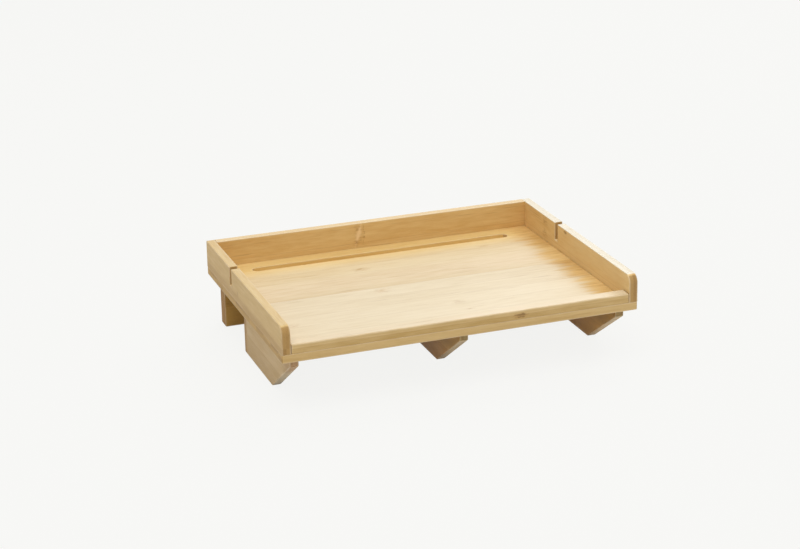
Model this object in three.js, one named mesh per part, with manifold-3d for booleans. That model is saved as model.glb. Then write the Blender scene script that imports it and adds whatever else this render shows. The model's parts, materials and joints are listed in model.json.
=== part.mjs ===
// Clip-on bedside shelf in bamboo, in millimetres, +Z up.
// The origin is under the middle of the tray, on the plane that the brackets stand on.
// +X is the shelf's right, +Y its back, where the bed rail goes.

import * as THREE from 'three';
import { mergeVertices } from 'three/addons/utils/BufferGeometryUtils.js';
import Module from 'manifold-3d';

const wasm = await Module();
wasm.setup();

// Driving dimensions: the tray

const tray_width = 330;
const tray_depth = 240;
const base_thickness = 8;
const rail_thickness = 8;
const rim_height = 25;
const rail_corner_radius = 8;
const lip_height = 8;
const lip_depth = 12;
const lip_end_gap = 0.4;
const rail_rebate = 0.5;
const edge_ease = 0.7;
const corner_ease = 1.0;

// Driving dimensions: the cable slits and the tablet groove

const cable_slit_width = 6;
const cable_slit_depth = 17;
const cable_slit_from_middle = 37.5;
const tablet_groove_width = 10;
const tablet_groove_depth = 4;
const tablet_groove_length = 258;
const tablet_groove_from_back_rail = 20.5;

// Driving dimensions: the brackets under the tray

const bracket_drop = 47;
const bracket_inset = 9;
const gusset_thickness = 8;
const gusset_nose = 8;
const gusset_softening = 2;
const bracket_length = 85;
const middle_gusset_offset = 2.5;
const fixed_jaw_thickness = 8;
const rear_jaw_thickness = 14;
const jaw_gap = 66;
const smallest_grip = 6;
const housing_depth = 2.5;

// Driving dimensions: the sliding arms and their knobs

const arm_width = 30;
const arm_thickness = 8;
const arm_spacing = 156;
const arm_end_wall = 12;
const arm_end_radius = 7;
const arm_notch_clearance = 0.5;
const stud_radius = 3;
const stud_chamfer = 0.8;
const stud_tip_clearance = 1;
const slot_clearance = 0.4;
const slot_end_margin = 4;
const washer_radius = 9;
const washer_thickness = 1.6;
const insert_radius = 4.5;
const insert_length = 6.5;
const knob_radius = 16;
const knob_lobes = 6;
const knob_flute_depth = 3;
const knob_grip_height = 12;
const knob_boss_radius = 8;
const knob_boss_height = 3;
const knob_jaw_clearance = 3;
const stud_grip = 11;

// Driving dimensions: the countersunk wood screws

const screw_radius = 1.5;
const screw_head_radius = 3;
const screw_tip = 3;
const screw_recess = 0.3;
const rail_screw_bite = 16;
const lip_screw_bite = 5.5;
const jaw_screw_bite = 17;
const jaw_screw_margin = 12;
const arm_screw_bite = 22;
const arm_screw_spacing = 16;
const screw_row_margin = 22;
const side_rail_screw_count = 3;
const cross_rail_screw_count = 4;

// Clearances between pieces: cut to fit, and free to move

const fit_gap = 0.3;
const running_gap = 0.3;

// How far a cutting tool reaches past the face that it opens

const overshoot = 1;

// Places that follow from the driving dimensions

const half_width = tray_width / 2;
const half_depth = tray_depth / 2;
const underside = bracket_drop;
const floor = underside + base_thickness;
const inner_half_width = half_width - rail_thickness;
const back_rail_face = half_depth - rail_thickness;

const bracket_half_width = half_width - bracket_inset;
const gusset_front = -half_depth + bracket_inset;
const rear_jaw_back = half_depth - bracket_inset;
const rear_jaw_front = rear_jaw_back - rear_jaw_thickness;
const fixed_jaw_back = rear_jaw_front - jaw_gap;
const fixed_jaw_front = fixed_jaw_back - fixed_jaw_thickness;
const gusset_apex = fixed_jaw_back - bracket_length;
const housed_top = underside + housing_depth - fit_gap;

const arm_top = underside - running_gap;
const arm_underside = arm_top - arm_thickness;
const knob_place = fixed_jaw_front - knob_jaw_clearance - knob_radius;
const slide_stroke = jaw_gap - smallest_grip;
const slot_half_width = stud_radius + slot_clearance;
const slot_front = knob_place - slot_end_margin;
const slot_back = knob_place + slide_stroke + slot_end_margin;
const arm_front = slot_front - slot_half_width - arm_end_wall;
const washer_top = arm_underside - running_gap;
const knob_top = washer_top - washer_thickness - running_gap;

const gusset_middles = {
  left: -bracket_half_width + gusset_thickness / 2,
  middle: middle_gusset_offset,
  right: bracket_half_width - gusset_thickness / 2,
};
const sides = { left: -1, right: 1 };

// Colours of the materials

const bamboo = { roughness: 0.45, metalness: 0 };
const finishes = {
  base: { color: 0xe6cd9c, ...bamboo },
  rail: { color: 0xd2a76b, ...bamboo },
  lip: { color: 0xc3a06a, ...bamboo },
  bracket: { color: 0xb99a6c, ...bamboo },
  arm: { color: 0xc9a670, ...bamboo },
  plastic: { color: 0x1d1d1f, roughness: 0.5, metalness: 0 },
  steel: { color: 0xb9bcc0, roughness: 0.3, metalness: 1 },
  brass: { color: 0xc8a24c, roughness: 0.35, metalness: 1 },
};

// Closed meshes: vertices are merged, and triangles that merging has flattened are left out

function weld(geometry) {
  const bare = geometry.clone();
  bare.deleteAttribute('normal');
  bare.deleteAttribute('uv');
  const merged = mergeVertices(bare, 1e-4);
  const index = merged.getIndex().array;
  const kept = [];
  for (let i = 0; i < index.length; i += 3) {
    const [a, b, c] = [index[i], index[i + 1], index[i + 2]];
    if (a !== b && b !== c && c !== a) kept.push(a, b, c);
  }
  merged.setIndex(kept);
  merged.computeVertexNormals();
  return merged;
}

function toManifold(geometry) {
  const welded = weld(geometry);
  const mesh = new wasm.Mesh({
    numProp: 3,
    vertProperties: new Float32Array(welded.getAttribute('position').array),
    triVerts: new Uint32Array(welded.getIndex().array),
  });
  return new wasm.Manifold(mesh);
}

function toGeometry(manifold) {
  const mesh = manifold.getMesh();
  const geometry = new THREE.BufferGeometry();
  geometry.setAttribute('position', new THREE.BufferAttribute(mesh.vertProperties, 3));
  geometry.setIndex(new THREE.BufferAttribute(mesh.triVerts, 1));
  geometry.computeVertexNormals();
  return geometry;
}

function join(geometries) {
  return toGeometry(geometries.map(toManifold).reduce((whole, piece) => whole.add(piece)));
}

function cut(geometry, tools) {
  let solid = toManifold(geometry);
  for (const tool of tools) solid = solid.subtract(toManifold(tool));
  return toGeometry(solid);
}

// Outlines: straight sides with a radius at each corner, given as [x, y, radius]

function arcSteps(radius) {
  return radius > 4 ? 8 : 3;
}

function outline(corners) {
  const points = [];
  corners.forEach(([x, y, radius], i) => {
    const corner = new THREE.Vector2(x, y);
    const before = corners.at(i - 1);
    const after = corners[(i + 1) % corners.length];
    const back = new THREE.Vector2(before[0] - x, before[1] - y).normalize();
    const ahead = new THREE.Vector2(after[0] - x, after[1] - y).normalize();
    if (radius === 0) {
      points.push(corner);
      return;
    }
    const half_angle = Math.acos(back.dot(ahead)) / 2;
    const run = radius / Math.tan(half_angle);
    const inward = back.clone().add(ahead).normalize();
    const middle = inward.multiplyScalar(radius / Math.sin(half_angle)).add(corner);
    const start = back.clone().multiplyScalar(run).add(corner).sub(middle);
    const end = ahead.clone().multiplyScalar(run).add(corner).sub(middle);
    const turn = Math.atan2(start.cross(end), start.dot(end));
    const steps = arcSteps(radius);
    for (let k = 0; k <= steps; k++) {
      points.push(start.clone().rotateAround(new THREE.Vector2(), (turn * k) / steps).add(middle));
    }
  });
  return new THREE.Shape(points);
}

function rectangle(x0, x1, y0, y1, radius = corner_ease) {
  return outline([[x0, y0, radius], [x1, y0, radius], [x1, y1, radius], [x0, y1, radius]]);
}

// A slot with round ends, traced into a shape or into a path that is to be a hole in one

function traceSlot(path, start, end, half_width) {
  const way = Math.atan2(end.y - start.y, end.x - start.x);
  path.absarc(end.x, end.y, half_width, way - Math.PI / 2, way + Math.PI / 2);
  path.absarc(start.x, start.y, half_width, way + Math.PI / 2, way + (3 * Math.PI) / 2);
  path.closePath();
  return path;
}

// Boards: an outline given a thickness, with a small chamfer along its edges, lying in one of three planes.
// A flat board rises from z = 0, an upright one faces along X or along Y and is centred on it.

const planes = {
  flat: new THREE.Matrix4(),
  facing_x: new THREE.Matrix4().makeBasis(
    new THREE.Vector3(0, 1, 0), new THREE.Vector3(0, 0, 1), new THREE.Vector3(1, 0, 0)),
  facing_y: new THREE.Matrix4().makeBasis(
    new THREE.Vector3(1, 0, 0), new THREE.Vector3(0, 0, 1), new THREE.Vector3(0, -1, 0)),
};

function board(shape, thickness, plane, ease = edge_ease) {
  const geometry = new THREE.ExtrudeGeometry(shape, {
    depth: thickness - 2 * ease,
    bevelEnabled: true,
    bevelThickness: ease,
    bevelSize: ease,
    bevelOffset: -ease,
    bevelSegments: 1,
    curveSegments: 8,
  });
  geometry.translate(0, 0, plane === 'flat' ? ease : ease - thickness / 2);
  geometry.applyMatrix4(planes[plane]);
  return weld(geometry);
}

// Turned pieces: a profile of [radius, height] round the Z axis

function turned(profile, segments = 20) {
  const points = profile.map(([r, z]) => new THREE.Vector2(r, z));
  const geometry = new THREE.LatheGeometry(points, segments);
  geometry.applyMatrix4(planes.facing_y);
  return weld(geometry);
}

function block(x0, x1, y0, y1, z0, z1) {
  const geometry = new THREE.BoxGeometry(x1 - x0, y1 - y0, z1 - z0);
  geometry.translate((x0 + x1) / 2, (y0 + y1) / 2, (z0 + z1) / 2);
  return geometry;
}

// Countersunk wood screw: the head's flat top is at the origin, facing +Z.
// Its hole has the same profile, wider by the fit gap, and opens above the head.

const screw_head_height = screw_head_radius - screw_radius;

function screwGeometry(length) {
  return turned([
    [0, 0],
    [screw_head_radius, 0],
    [screw_radius, -screw_head_height],
    [screw_radius, screw_tip - length],
    [0, -length],
  ].reverse(), 12);
}

function screwHole(length) {
  const mouth = screw_head_radius + fit_gap * Math.SQRT2;
  const bore = screw_radius + fit_gap;
  return turned([
    [0, screw_recess + overshoot],
    [mouth, screw_recess + overshoot],
    [mouth, 0],
    [bore, bore - mouth],
    [bore, -length - fit_gap],
    [0, -length - fit_gap],
  ].reverse(), 12);
}

function evenly(low, high, count) {
  return Array.from({ length: count }, (_, i) => low + ((high - low) * i) / (count - 1));
}

// Every screw of the shelf: its head's place, its way in, its length and the name of its mesh

const pointing_up = new THREE.Euler(Math.PI, 0, 0);
const pointing_forward = new THREE.Euler(-Math.PI / 2, 0, 0);
const pointing_down = new THREE.Euler(0, 0, 0);

const screws = [];

function addScrew(name, x, y, z, way, length) {
  screws.push({ name, at: new THREE.Vector3(x, y, z), way, length });
}

const side_row = evenly(
  -half_depth + screw_row_margin, half_depth - screw_row_margin, side_rail_screw_count);
const cross_row = evenly(
  -inner_half_width + screw_row_margin, inner_half_width - screw_row_margin, cross_rail_screw_count);
const head_level = underside + screw_recess;
const rail_screw_length = base_thickness - screw_recess + rail_screw_bite;
const lip_screw_length = base_thickness - screw_recess + lip_screw_bite;

for (const [side, sign] of Object.entries(sides)) {
  side_row.forEach((y, i) => {
    const x = sign * (half_width - rail_thickness / 2);
    addScrew(`${side}_rail_screw_${i + 1}`, x, y, head_level, pointing_up, rail_screw_length);
  });
}
cross_row.forEach((x, i) => {
  const back = half_depth - rail_thickness / 2;
  addScrew(`back_rail_screw_${i + 1}`, x, back, head_level, pointing_up, rail_screw_length);
});
cross_row.forEach((x, i) => {
  const front = -half_depth + lip_depth / 2;
  addScrew(`lip_screw_${i + 1}`, x, front, head_level, pointing_up, lip_screw_length);
});
const jaw_screw_length = fixed_jaw_thickness - screw_recess + jaw_screw_bite;
const jaw_screw_levels = { lower: jaw_screw_margin, upper: underside - jaw_screw_margin };

for (const [place, x] of Object.entries(gusset_middles)) {
  for (const [level, z] of Object.entries(jaw_screw_levels)) {
    const y = fixed_jaw_back - screw_recess;
    addScrew(`${place}_jaw_screw_${level}`, x, y, z, pointing_forward, jaw_screw_length);
  }
}
const arm_screw_length = arm_thickness - screw_recess + arm_screw_bite;

for (const [side, sign] of Object.entries(sides)) {
  for (const [place, offset] of Object.entries({ outer: 1, inner: -1 })) {
    const x = sign * (arm_spacing / 2 + (offset * arm_screw_spacing) / 2);
    const y = (rear_jaw_front + rear_jaw_back) / 2;
    addScrew(`${side}_arm_screw_${place}`, x, y, arm_top - screw_recess, pointing_down, arm_screw_length);
  }
}

// The holes that the screws with these names leave in a piece whose own origin is at the given place

function screwHoles(pattern, origin) {
  return screws.filter((screw) => pattern.test(screw.name)).map((screw) => {
    const placing = new THREE.Matrix4().makeRotationFromEuler(screw.way);
    placing.setPosition(screw.at.clone().sub(origin));
    return screwHole(screw.length).applyMatrix4(placing);
  });
}

// The assembly

const shelf = new THREE.Group();

function add(name, geometry, finish, x, y, z, parent = shelf) {
  const mesh = new THREE.Mesh(geometry, new THREE.MeshStandardMaterial(finish));
  mesh.name = name;
  mesh.position.set(x, y, z);
  parent.add(mesh);
  return mesh;
}

// Base board: the floor stands up a little from the rebate that the rails and the lip are let into.
// It has the tablet groove on top, and on its underside the housings for the brackets, the bores
// for the threaded inserts and the holes for the screws.

function baseBoard() {
  const origin = new THREE.Vector3(0, 0, underside);
  const plate = board(
    rectangle(-half_width, half_width, -half_depth, half_depth), base_thickness - rail_rebate, 'flat');
  const floor_reach = inner_half_width - fit_gap;
  const raised_floor = block(-floor_reach, floor_reach,
    -half_depth + lip_depth + fit_gap, back_rail_face - fit_gap, base_thickness / 2, base_thickness);

  const groove_end = new THREE.Vector2(
    (tablet_groove_length - tablet_groove_width) / 2, back_rail_face - tablet_groove_from_back_rail);
  const groove_start = new THREE.Vector2(-groove_end.x, groove_end.y);
  const groove_shape = traceSlot(new THREE.Shape(), groove_start, groove_end, tablet_groove_width / 2);
  const groove = new THREE.ExtrudeGeometry(groove_shape, {
    depth: tablet_groove_depth + overshoot,
    bevelEnabled: false,
    curveSegments: 10,
  });
  groove.translate(0, 0, base_thickness - tablet_groove_depth);

  const housings = Object.values(gusset_middles).map((x) => {
    const reach = gusset_thickness / 2 + fit_gap;
    return block(x - reach, x + reach, gusset_front - fit_gap, fixed_jaw_front, -overshoot, housing_depth);
  });
  housings.push(block(-bracket_half_width - fit_gap, bracket_half_width + fit_gap,
    fixed_jaw_front - fit_gap, fixed_jaw_back + fit_gap, -overshoot, housing_depth));

  const bores = Object.values(sides).map((sign) => {
    const bore = turned([
      [0, -overshoot],
      [insert_radius + fit_gap, -overshoot],
      [insert_radius + fit_gap, insert_length + fit_gap],
      [0, insert_length + fit_gap],
    ], 24);
    return bore.translate((sign * arm_spacing) / 2, knob_place, 0);
  });

  const holes = screwHoles(/rail_screw|lip_screw/, origin);
  return cut(join([plate, raised_floor]), [groove, ...housings, ...bores, ...holes]);
}

add('base_board', baseBoard(), finishes.base, 0, 0, underside);

// Side rails: full depth, let into the base board's rebate, with a rounded front top corner and a cable slit

function sideRail(side) {
  const slit_front = cable_slit_from_middle - cable_slit_width / 2;
  const slit_back = cable_slit_from_middle + cable_slit_width / 2;
  const shape = outline([
    [-half_depth, -rail_rebate, corner_ease],
    [half_depth, -rail_rebate, corner_ease],
    [half_depth, rim_height, corner_ease],
    [slit_back, rim_height, corner_ease],
    [slit_back, rim_height - cable_slit_depth, corner_ease],
    [slit_front, rim_height - cable_slit_depth, corner_ease],
    [slit_front, rim_height, corner_ease],
    [-half_depth, rim_height, rail_corner_radius],
  ]);
  const middle = sides[side] * (half_width - rail_thickness / 2);
  const holes = screwHoles(new RegExp(`^${side}_rail_screw`), new THREE.Vector3(middle, 0, floor));
  return cut(board(shape, rail_thickness, 'facing_x'), holes);
}

for (const [side, sign] of Object.entries(sides)) {
  const middle = sign * (half_width - rail_thickness / 2);
  add(`${side}_side_rail`, sideRail(side), finishes.rail, middle, 0, floor);
}

// Back rail, between the side rails

function backRail() {
  const middle = half_depth - rail_thickness / 2;
  const shape = rectangle(-inner_half_width, inner_half_width, -rail_rebate, rim_height);
  const plank = board(shape, rail_thickness, 'facing_y');
  return cut(plank, screwHoles(/back_rail_screw/, new THREE.Vector3(0, middle, floor)));
}

add('back_rail', backRail(), finishes.rail, 0, half_depth - rail_thickness / 2, floor);

// Front lip, a low strip between the side rails with a fine gap at each end

function frontLip() {
  const half_length = inner_half_width - lip_end_gap;
  const shape = rectangle(-half_length, half_length, -rail_rebate, lip_height);
  const strip = board(shape, lip_depth, 'facing_y');
  const middle = -half_depth + lip_depth / 2;
  return cut(strip, screwHoles(/lip_screw/, new THREE.Vector3(0, middle, floor)));
}

add('front_lip', frontLip(), finishes.lip, 0, -half_depth + lip_depth / 2, floor);

// Gussets: bracket boards with a short upright nose and a sloping front edge, housed in the base board

function gusset(place) {
  const shape = outline([
    [fixed_jaw_front, 0, corner_ease],
    [fixed_jaw_front, housed_top, 0],
    [gusset_front, housed_top, 0],
    [gusset_front, underside - gusset_nose, gusset_softening],
    [gusset_apex, 0, gusset_softening],
  ]);
  const origin = new THREE.Vector3(gusset_middles[place], 0, 0);
  const holes = screwHoles(new RegExp(`^${place}_jaw_screw`), origin);
  return cut(board(shape, gusset_thickness, 'facing_x'), holes);
}

for (const [place, x] of Object.entries(gusset_middles)) {
  add(`${place}_gusset`, gusset(place), finishes.bracket, x, 0, 0);
}

// Fixed jaw board, across the gussets' back edges, notched where the sliding arms pass

function fixedJawBoard() {
  const notch_floor = arm_underside - arm_notch_clearance;
  const notch_reach = arm_width / 2 + arm_notch_clearance;
  const corners = [
    [-bracket_half_width, 0, corner_ease],
    [bracket_half_width, 0, corner_ease],
    [bracket_half_width, housed_top, 0],
  ];
  for (const sign of [1, -1]) {
    const middle = (sign * arm_spacing) / 2;
    corners.push(
      [middle + notch_reach, housed_top, 0],
      [middle + notch_reach, notch_floor, corner_ease],
      [middle - notch_reach, notch_floor, corner_ease],
      [middle - notch_reach, housed_top, 0],
    );
  }
  corners.push([-bracket_half_width, housed_top, 0]);
  const middle = (fixed_jaw_front + fixed_jaw_back) / 2;
  const plank = board(outline(corners), fixed_jaw_thickness, 'facing_y');
  return cut(plank, screwHoles(/jaw_screw/, new THREE.Vector3(0, middle, 0)));
}

add('fixed_jaw_board', fixedJawBoard(), finishes.bracket, 0, (fixed_jaw_front + fixed_jaw_back) / 2, 0);

// Rear jaw board, hung from the two sliding arms

function rearJawBoard() {
  const middle = (rear_jaw_front + rear_jaw_back) / 2;
  const plank = board(
    rectangle(-bracket_half_width, bracket_half_width, 0, arm_underside), rear_jaw_thickness, 'facing_y');
  return cut(plank, screwHoles(/arm_screw/, new THREE.Vector3(0, middle, 0)));
}

add('rear_jaw_board', rearJawBoard(), finishes.bracket, 0, (rear_jaw_front + rear_jaw_back) / 2, 0);

// Sliding arms: each lies under the base board with a slot along it for the knob's stud.
// With the jaws wide open the stud is near the slot's front end.

function slideArm(side) {
  const shape = outline([
    [-arm_width / 2, arm_front, arm_end_radius],
    [arm_width / 2, arm_front, arm_end_radius],
    [arm_width / 2, rear_jaw_back, corner_ease],
    [-arm_width / 2, rear_jaw_back, corner_ease],
  ]);
  const x = (sides[side] * arm_spacing) / 2;
  const slot_start = new THREE.Vector2(0, slot_front);
  const slot_end = new THREE.Vector2(0, slot_back);
  shape.holes.push(traceSlot(new THREE.Path(), slot_start, slot_end, slot_half_width));
  const origin = new THREE.Vector3(x, 0, arm_underside);
  return cut(board(shape, arm_thickness, 'flat'), screwHoles(new RegExp(`^${side}_arm_screw`), origin));
}

for (const [side, sign] of Object.entries(sides)) {
  add(`${side}_slide_arm`, slideArm(side), finishes.arm, (sign * arm_spacing) / 2, 0, arm_underside);
}

// Clamp fittings, each set on its knob's axis: threaded insert, washer, steel stud and lobed knob

function ringGeometry(inner, outer, height) {
  return turned([[inner, 0], [outer, 0], [outer, height], [inner, height], [inner, 0]], 24);
}

function studGeometry() {
  const foot = knob_top - stud_grip;
  const tip = underside + insert_length - stud_tip_clearance;
  return turned([
    [0, foot],
    [stud_radius, foot],
    [stud_radius, tip - stud_chamfer],
    [stud_radius - stud_chamfer, tip],
    [0, tip],
  ], 24);
}

// The knob: a round boss over a lobed grip. Down the grip's height, each ring of the lobed outline
// has its own share of the full size, for the eased shoulder above and the domed end below.

const grip_rings = [
  { depth: 0, share: 0.93 },
  { depth: 0.1, share: 1 },
  { depth: 0.7, share: 1 },
  { depth: 0.9, share: 0.92 },
  { depth: 1, share: 0.72 },
];
const steps_per_lobe = 8;

function knobGeometry() {
  const steps = knob_lobes * steps_per_lobe;
  const lobed = (angle) => knob_radius - knob_flute_depth * (0.5 - 0.5 * Math.cos(knob_lobes * angle));
  const rings = [
    { z: 0, radiusAt: () => knob_boss_radius },
    { z: -knob_boss_height, radiusAt: () => knob_boss_radius },
    ...grip_rings.map(({ depth, share }) => ({
      z: -knob_boss_height - depth * knob_grip_height,
      radiusAt: (angle) => share * lobed(angle),
    })),
  ];
  const position = [];
  for (const { z, radiusAt } of rings) {
    for (let i = 0; i < steps; i++) {
      const angle = (2 * Math.PI * i) / steps;
      position.push(radiusAt(angle) * Math.cos(angle), radiusAt(angle) * Math.sin(angle), z);
    }
  }
  const index = [];
  for (let k = 0; k < rings.length - 1; k++) {
    for (let i = 0; i < steps; i++) {
      const upper = k * steps + i;
      const upper_next = k * steps + ((i + 1) % steps);
      index.push(upper, upper + steps, upper_next + steps, upper, upper_next + steps, upper_next);
    }
  }
  const top_centre = position.length / 3;
  const bottom_centre = top_centre + 1;
  position.push(0, 0, 0, 0, 0, -knob_boss_height - knob_grip_height);
  for (let i = 0; i < steps; i++) {
    const next = (i + 1) % steps;
    const last = (rings.length - 1) * steps;
    index.push(top_centre, i, next, bottom_centre, last + next, last + i);
  }
  const geometry = new THREE.BufferGeometry();
  geometry.setAttribute('position', new THREE.Float32BufferAttribute(position, 3));
  geometry.setIndex(index);
  const socket = turned([
    [0, -stud_grip - fit_gap],
    [stud_radius + fit_gap, -stud_grip - fit_gap],
    [stud_radius + fit_gap, overshoot],
    [0, overshoot],
  ], 24);
  return cut(geometry, [socket]);
}

for (const [side, sign] of Object.entries(sides)) {
  const axis = new THREE.Group();
  axis.position.set((sign * arm_spacing) / 2, knob_place, 0);
  shelf.add(axis);
  add(`${side}_insert`, ringGeometry(stud_radius + fit_gap, insert_radius, insert_length),
    finishes.brass, 0, 0, underside, axis);
  add(`${side}_washer`, ringGeometry(stud_radius + fit_gap, washer_radius, washer_thickness),
    finishes.steel, 0, 0, washer_top - washer_thickness, axis);
  add(`${side}_knob_stud`, studGeometry(), finishes.steel, 0, 0, 0, axis);
  add(`${side}_knob`, knobGeometry(), finishes.plastic, 0, 0, knob_top, axis);
}

// Screws

for (const { name, at, way, length } of screws) {
  const screw = add(name, screwGeometry(length), finishes.steel, at.x, at.y, at.z);
  screw.rotation.copy(way);
}

export default shelf;
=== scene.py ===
# %% [markdown]
# # A clip-on bedside shelf in bamboo
# The shelf is a shallow bamboo tray that hangs on a bed's side rail. Two boards under it, the jaws,
# grip the rail: one is fixed to three bracket boards, the other slides on two slotted arms that
# lobed knobs clamp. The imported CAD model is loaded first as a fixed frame. Every piece that follows
# is a finer version of one CAD node, and stays where that node is.

import json
import math

import bpy
import numpy as np
from mathutils import Matrix, Vector
from mathutils.geometry import delaunay_2d_cdt


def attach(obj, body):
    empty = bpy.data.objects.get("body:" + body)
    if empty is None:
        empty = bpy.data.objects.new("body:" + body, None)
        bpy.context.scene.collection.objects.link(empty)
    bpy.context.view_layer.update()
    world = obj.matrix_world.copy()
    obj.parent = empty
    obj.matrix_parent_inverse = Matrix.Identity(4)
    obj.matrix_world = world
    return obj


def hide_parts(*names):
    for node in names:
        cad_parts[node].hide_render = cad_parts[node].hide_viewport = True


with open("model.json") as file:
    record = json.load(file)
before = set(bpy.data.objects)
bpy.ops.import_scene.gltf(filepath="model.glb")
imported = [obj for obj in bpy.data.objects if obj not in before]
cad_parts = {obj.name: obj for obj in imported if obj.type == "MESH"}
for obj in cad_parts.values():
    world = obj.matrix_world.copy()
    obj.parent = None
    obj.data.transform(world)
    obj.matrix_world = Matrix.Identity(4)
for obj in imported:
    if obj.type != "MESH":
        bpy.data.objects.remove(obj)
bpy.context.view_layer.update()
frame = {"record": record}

# %% [markdown]
# ## The camera
# The photograph was taken with a long lens, from the left of the front and a little above. The
# camera's place comes from fitting the tray's corners, whose distances the photograph's labels
# give. A long lens keeps the tray's opposite edges nearly parallel, so the distance matters as
# much as the angle does.

# %% Camera at the photograph's angle
camera_azimuth, camera_elevation, camera_roll = np.radians([-19.814, 20.068, -1.052])
camera_distance, aim_sideways, aim_upwards, tray_underside = 1.8406, -0.01495, 0.01516, 0.047
focal_pixels, picture_width, sensor_width = 2007.15, 800, 36.0

backward = Vector((math.sin(camera_azimuth) * math.cos(camera_elevation),
                   -math.cos(camera_azimuth) * math.cos(camera_elevation),
                   math.sin(camera_elevation)))
level_right = Vector((math.cos(camera_azimuth), math.sin(camera_azimuth), 0))
level_up = backward.cross(level_right)
camera_right = math.cos(camera_roll) * level_right + math.sin(camera_roll) * level_up
camera_up = math.cos(camera_roll) * level_up - math.sin(camera_roll) * level_right
camera_place = (backward * camera_distance + camera_right * aim_sideways + camera_up * aim_upwards
                + Vector((0, 0, tray_underside)))


def add_object(name, data):
    """A new object in the scene."""
    item = bpy.data.objects.new(name, data)
    bpy.context.scene.collection.objects.link(item)
    return item


camera = add_object("camera", bpy.data.cameras.new("camera"))
camera.data.sensor_width = sensor_width
camera.data.lens = focal_pixels * sensor_width / picture_width
camera.matrix_world = Matrix.Translation(camera_place) @ Matrix(
    (camera_right, camera_up, backward)).transposed().to_4x4()
bpy.context.scene.camera = camera
bpy.context.scene.view_settings.view_transform = "Standard"
print("Lens in mm:", round(camera.data.lens, 1))

# %% [markdown]
# ## Building materials from nodes
# A material is a small network of nodes. With these helpers it can be written as a formula: a
# `Value` is the output of a node, and every +, -, * or / that is done with it adds a Math node.
# An effect that several materials share becomes a node group with named inputs and outputs.

# %% Helpers for nodes
class Value:
    """A node's output, with the steps of arithmetic that can follow it."""

    def __init__(self, socket):
        self.socket, self.tree = socket, socket.id_data

    def step(self, operation, *others):
        """One Math node with this value as its first input."""
        node = self.tree.nodes.new("ShaderNodeMath")
        node.operation = operation
        for value, socket in zip((self, *others), node.inputs):
            plug(value, socket)
        return Value(node.outputs[0])

    def __add__(self, other):
        return self.step("ADD", other)

    def __sub__(self, other):
        return self.step("SUBTRACT", other)

    def __mul__(self, other):
        return self.step("MULTIPLY", other)

    def __truediv__(self, other):
        return self.step("DIVIDE", other)

    def __abs__(self):
        return self.step("ABSOLUTE")

    def clamped(self):
        """The same value, with its last step kept between 0 and 1."""
        self.socket.node.use_clamp = True
        return self


def plug(value, socket):
    """Gives a socket a plain value, or a link from a Value or from a node's first output."""
    if isinstance(value, bpy.types.Node):
        value = Value(value.outputs[0])
    if isinstance(value, Value):
        value.tree.links.new(value.socket, socket)
    else:
        socket.default_value = value


def add_node(tree, kind, inputs=None, **settings):
    """A new node with its settings, and with its inputs given by name."""
    node = tree.nodes.new("ShaderNode" + kind)
    for setting, value in settings.items():
        setattr(node, setting, value)
    for label, value in (inputs or {}).items():
        plug(value, node.inputs[label])
    return node


def tree_of(*values):
    """The node tree of the first Value among these."""
    return next(value.tree for value in values if isinstance(value, Value))


def fade(value, start, end, low=0.0, high=1.0):
    """A soft step: low before start, high after end, and a smooth S-shaped rise in between."""
    node = add_node(value.tree, "MapRange", interpolation_type="SMOOTHSTEP")
    for setting, socket in zip((value, start, end, low, high), node.inputs):
        plug(setting, socket)
    return Value(node.outputs[0])


def blend(factor, first, second):
    """Two colours mixed by a factor."""
    node = add_node(tree_of(factor, first, second), "Mix", {"Factor": factor}, data_type="RGBA")
    sockets = {socket.identifier: socket for socket in (*node.inputs, *node.outputs)}
    plug(first, sockets["A_Color"])
    plug(second, sockets["B_Color"])
    return Value(sockets["Result_Color"])


def new_material(name):
    """An empty material: itself, its node tree and the socket that its shader goes to."""
    material = bpy.data.materials.new(name)
    material.use_nodes = True
    tree = material.node_tree
    tree.nodes.clear()
    return material, tree, add_node(tree, "OutputMaterial").inputs["Surface"]


# %% [markdown]
# ## The floor, the background and the lamps
# The photograph has a plain, nearly white background and shadowless studio light. A white floor
# could be had by turning the lamps up, but that would bleach the bamboo. Here the floor and the
# world show their pale colour only to rays that look at them: camera rays, mirror rays and rays
# through glass. All other rays see a plain, softly lit surface, and part of that stays in the
# picture, so the floor still carries the shelf's shadow.

# %% Floor, world and lamps
background_colour, floor_colour = (0.930, 0.930, 0.913, 1), (0.86, 0.86, 0.845, 1)
white, world_strength, shadow_share = (1, 1, 1, 1), 0.50, 0.06


def seen_directly(tree):
    """1 for camera, glossy and transmission rays, and 0 for all others."""
    ray = {socket.name: Value(socket) for socket in add_node(tree, "LightPath").outputs}
    seen = ray["Is Camera Ray"].step("MAXIMUM", ray["Is Glossy Ray"])
    return seen.step("MAXIMUM", ray["Is Transmission Ray"])


def mix_shaders(factor, first, second):
    """Two shader nodes mixed by a factor."""
    node = add_node(first.id_data, "MixShader")
    for value, socket in zip((factor, first, second), node.inputs):
        plug(value, socket)
    return node


world = bpy.data.worlds.new("studio")
world.use_nodes = True
sky = world.node_tree
sky.nodes.clear()
soft_light = add_node(sky, "Background", {"Color": white, "Strength": world_strength})
backdrop = add_node(sky, "Background", {"Color": background_colour})
add_node(sky, "OutputWorld", {"Surface": mix_shaders(seen_directly(sky), soft_light, backdrop)})
bpy.context.scene.world = world

floor_reach, floor_level = 6.0, -0.0002
floor_mesh = bpy.data.meshes.new("floor")
floor_mesh.from_pydata([(x, y, floor_level) for x, y in floor_reach * np.array(
    [(-1, -1), (1, -1), (1, 1), (-1, 1)])], [], [(0, 1, 2, 3)])
studio_floor = add_object("floor", floor_mesh)

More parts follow.
